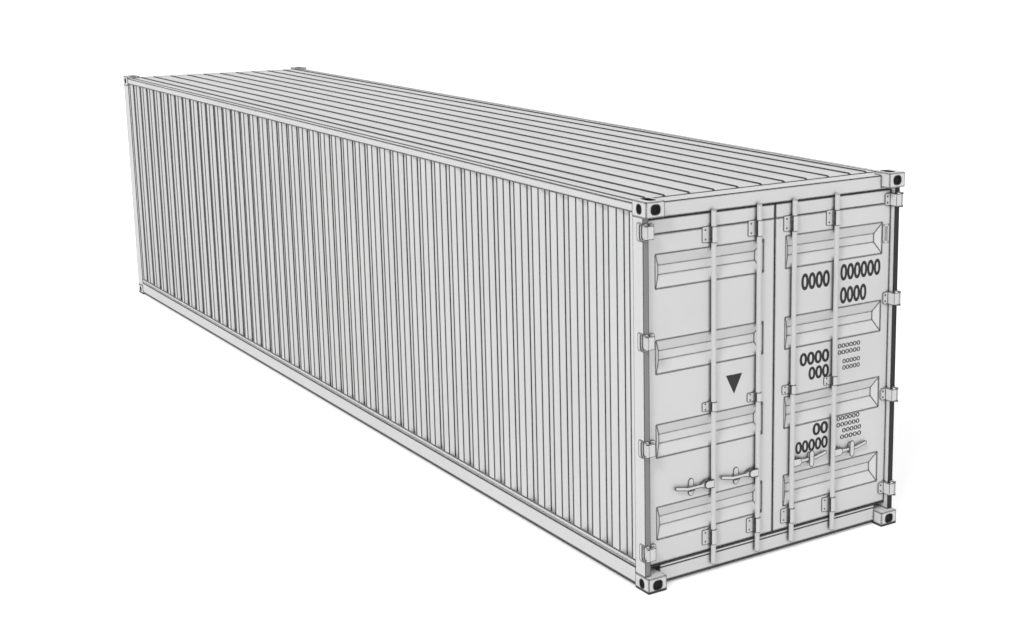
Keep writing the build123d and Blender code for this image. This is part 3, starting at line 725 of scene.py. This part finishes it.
def make_hinge_pads():
    """Doubling plates on the door posts' outer sides, one round each hinge notch."""
    bm = bmesh.new()
    rear_x = POST_REAR_X
    notch_x = HIGH.x - NOTCH_DEPTH
    for name, side in (("right", 1), ("left", -1)):
        face_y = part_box(f"rear_post_{name}")[1 if side > 0 else 0].y
        for low, high in islands(f"{name}_hinge_blades"):
            middle = (low.z + high.z) / 2
            rings = []
            for y in (face_y, face_y + side * PAD_THICKNESS):
                half_height = NOTCH_HALF_HEIGHT + PAD_OVERLAP
                outer = notch_path(rear_x, notch_x - PAD_RIM, half_height, y, middle)
                inner = notch_path(rear_x, notch_x, NOTCH_HALF_HEIGHT, y, middle)
                rings.append([bm.verts.new(point) for point in outer + inner[::-1]])
            count = len(rings[0])
            half = count // 2
            for step in range(count):
                after = (step + 1) % count
                bm.faces.new((rings[0][step], rings[0][after], rings[1][after], rings[1][step]))
            for ring in rings:
                for step in range(half - 1):
                    across = count - 1 - step
                    bm.faces.new((ring[step], ring[step + 1], ring[across - 1], ring[across]))
    bmesh.ops.recalc_face_normals(bm, faces=bm.faces)
    mesh_object("hinge_pads", bm, "body_paint", "container")


def make_door_bolts():
    """Bolt heads on the feet of the hinge blades and on the plates beside the rod guides."""
    for name, side in (("right", 1), ("left", -1)):
        bm = bmesh.new()
        for low, high in islands(f"{name}_hinge_blades"):
            foot_x = DOOR_X + BLADE_WEB
            y = side * (min(abs(low.y), abs(high.y)) + BLADE_BOLT_INSET)
            for share in BLADE_BOLT_SHARES:
                place = Vector((foot_x, y, low.z + share * (high.z - low.z)))
                add_head(bm, place, BOLT_RADIUS, BLADE_BOLT_SIDES)
        for low, high in islands(f"{name}_rod_brackets"):
            if high.y - low.y < NARROWEST_BOLTED:
                continue
            y = low.y + GUIDE_BOLT_INSET
            for share in GUIDE_BOLT_SHARES:
                place = Vector((DOOR_X + GUIDE_FOOT, y, low.z + share * (high.z - low.z)))
                add_head(bm, place, GUIDE_BOLT_RADIUS, GUIDE_BOLT_SIDES)
        mesh_object(f"door_bolts_{name}", bm, "hardware_paint", f"{name}_door")


def make_plate_rivets():
    """Rivets at the corners of the data plate, and a raised border on it."""
    low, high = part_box("data_plate")
    bm = bmesh.new()
    for y in (low.y + RIVET_INSET, high.y - RIVET_INSET):
        for z in (low.z + RIVET_INSET, high.z - RIVET_INSET):
            add_head(bm, Vector((high.x, y, z)), RIVET_RADIUS, RIVET_SIDES)
    border = PLATE_BORDER
    corners = [(low.y + border, low.z + border), (high.y - border, low.z + border),
               (high.y - border, high.z - border), (low.y + border, high.z - border)]
    tube_along(bm, [Vector((high.x, y, z)) for y, z in corners], BORDER_BEAD, closed=True)
    mesh_object("plate_rivets", bm, "hardware_paint", "right_door")


def make_triangle():
    """Solid triangle, point down, on the left-hand door."""
    y, z = TRIANGLE_MIDDLE
    width, height = TRIANGLE_SIZE
    outline = ((y - width / 2, z + height / 2), (y, z - height / 2), (y + width / 2, z + height / 2))
    bm = bmesh.new()
    rings = [[bm.verts.new((DOOR_X + lift, *point)) for point in outline] for lift in (0.0, MARK_THICKNESS)]
    bm.faces.new(rings[0][::-1])
    bm.faces.new(rings[1])
    for step in range(3):
        after = (step + 1) % 3
        bm.faces.new((rings[0][step], rings[0][after], rings[1][after], rings[1][step]))
    bmesh.ops.recalc_face_normals(bm, faces=bm.faces)
    mesh_object("door_triangle", bm, "marks", "left_door")


def make_marks():
    """Rows of plain noughts on the right-hand door, where a real container has its figures."""
    bm = bmesh.new()
    for row in LARGE_MARKS + SMALL_MARKS:
        left, right, middle, height, digits = row
        curve = bpy.data.curves.new("row", "FONT")
        curve.body = "0" * digits
        curve.extrude = MARK_THICKNESS / 2
        curve.offset = BOLD_STROKE if row in LARGE_MARKS else PLAIN_STROKE
        letters = bpy.data.objects.new("row", curve)
        link(letters)
        bpy.context.view_layer.update()
        mesh = bpy.data.meshes.new_from_object(letters)
        corners = [vert.co for vert in mesh.vertices]
        low = Vector([min(corner[axis] for corner in corners) for axis in range(3)])
        high = Vector([max(corner[axis] for corner in corners) for axis in range(3)])
        across = (right - left) / (high.x - low.x)
        up = height / (high.y - low.y)
        for vert in mesh.vertices:
            x, y, z = vert.co
            vert.co = (DOOR_X + MARK_THICKNESS / 2 + z, left + (x - low.x) * across,
                       middle - height / 2 + (y - low.y) * up)
        bm.from_mesh(mesh)
        bpy.data.objects.remove(letters)
        bpy.data.curves.remove(curve)
        bpy.data.meshes.remove(mesh)
    mesh_object("door_figures", bm, "marks", "right_door")


def make_socket_shadow_sheets():
    """Black sheets inside each corner casting, open at the twist-lock slot, as painted shade in its cavity.
    """
    bm = bmesh.new()
    for end in ("rear", "front"):
        for side in ("right", "left"):
            for level in ("top", "bottom"):
                low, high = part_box(f"corner_casting_{end}_{side}_{level}")
                inset = CASTING_WALL + SHADOW_SHEET_GAP
                x = (low.x + inset, high.x - inset)
                y = (low.y + inset, high.y - inset)
                seat = CASTING_SEAT + SHADOW_SHEET_GAP
                z = (low.z + inset, high.z - seat) if level == "top" else (high.z - inset, low.z + seat)
                corners = [(x[0], y[0]), (x[1], y[0]), (x[1], y[1]), (x[0], y[1])]
                rings = [[bm.verts.new((*corner, level_z)) for corner in corners] for level_z in z]
                bm.faces.new(rings[0])
                for step in range(4):
                    after = (step + 1) % 4
                    bm.faces.new((rings[0][step], rings[0][after], rings[1][after], rings[1][step]))
    mesh_object("socket_shadow_sheets", bm, "socket_shadow", "container")


def make_camera():
    """Camera at the drawing's viewing angle."""
    data = bpy.data.cameras.new("camera")
    data.lens = CAMERA_LENS
    data.sensor_width = SENSOR
    data.shift_x, data.shift_y = CAMERA_SHIFT
    data.clip_end = CLIP_END
    camera = link(bpy.data.objects.new("camera", data))
    camera.location = CAMERA_PLACE
    camera.rotation_euler = CAMERA_AIM.to_track_quat("-Z", "Y").to_euler()
    bpy.context.scene.camera = camera


def seen_ray(add):
    """1 on rays from the camera, and on those that metal or glass sends on."""
    rays = add("LightPath").outputs
    names = ("Is Camera Ray", "Is Glossy Ray", "Is Transmission Ray")
    return combined(add, "MAXIMUM", [rays[name] for name in names])


def make_stage():
    """Pale floor that keeps the shadow and shows white to the camera."""
    bm = bmesh.new()
    bmesh.ops.create_grid(bm, x_segments=1, y_segments=1, size=STAGE_SIZE)
    mesh = bpy.data.meshes.new("stage_floor")
    bm.to_mesh(mesh)
    bm.free()
    material, add, output = new_material("stage_floor")
    diffuse = add("BsdfDiffuse", {"Color": rgba(FLOOR_WHITE)})
    glow = add("Emission", {"Color": rgba(WHITE), "Strength": STAGE_GLOW})
    lit = add("AddShader", {0: diffuse.outputs[0], 1: glow.outputs[0]})
    shader = add("MixShader", {0: seen_ray(add), 1: diffuse.outputs[0], 2: lit.outputs[0]})
    output.id_data.links.new(shader.outputs[0], output.inputs["Surface"])
    mesh.materials.append(material)
    link(bpy.data.objects.new("stage_floor", mesh))


def make_sky():
    """Even soft sky, which shows as plain white."""
    world = bpy.data.worlds.new("world")
    bpy.context.scene.world = world
    add = node_adder(world)
    sky = add("Background", {"Color": rgba(WHITE), "Strength": SKY_STRENGTH})
    white = add("Background", {"Color": rgba(WHITE), "Strength": 1.0})
    mix = add("MixShader", {0: seen_ray(add), 1: sky.outputs[0], 2: white.outputs[0]})
    add("OutputWorld", {"Surface": mix.outputs[0]})


def make_sun():
    """One broad lamp from the near left."""
    sun = bpy.data.lights.new("key_sun", "SUN")
    sun.energy = SUN_ENERGY
    sun.angle = math.radians(SUN_ANGLE)
    lamp = link(bpy.data.objects.new("key_sun", sun))
    lamp.rotation_euler = SUN_AIM.to_track_quat("-Z", "Y").to_euler()


dress_frame()
make_wall_welds()
make_casting_welds()
make_hinge_pads()
make_door_bolts()
make_plate_rivets()
make_triangle()
make_marks()
make_socket_shadow_sheets()
make_camera()
make_stage()
make_sky()
make_sun()

scene = bpy.context.scene
scene.view_settings.view_transform = "Standard"
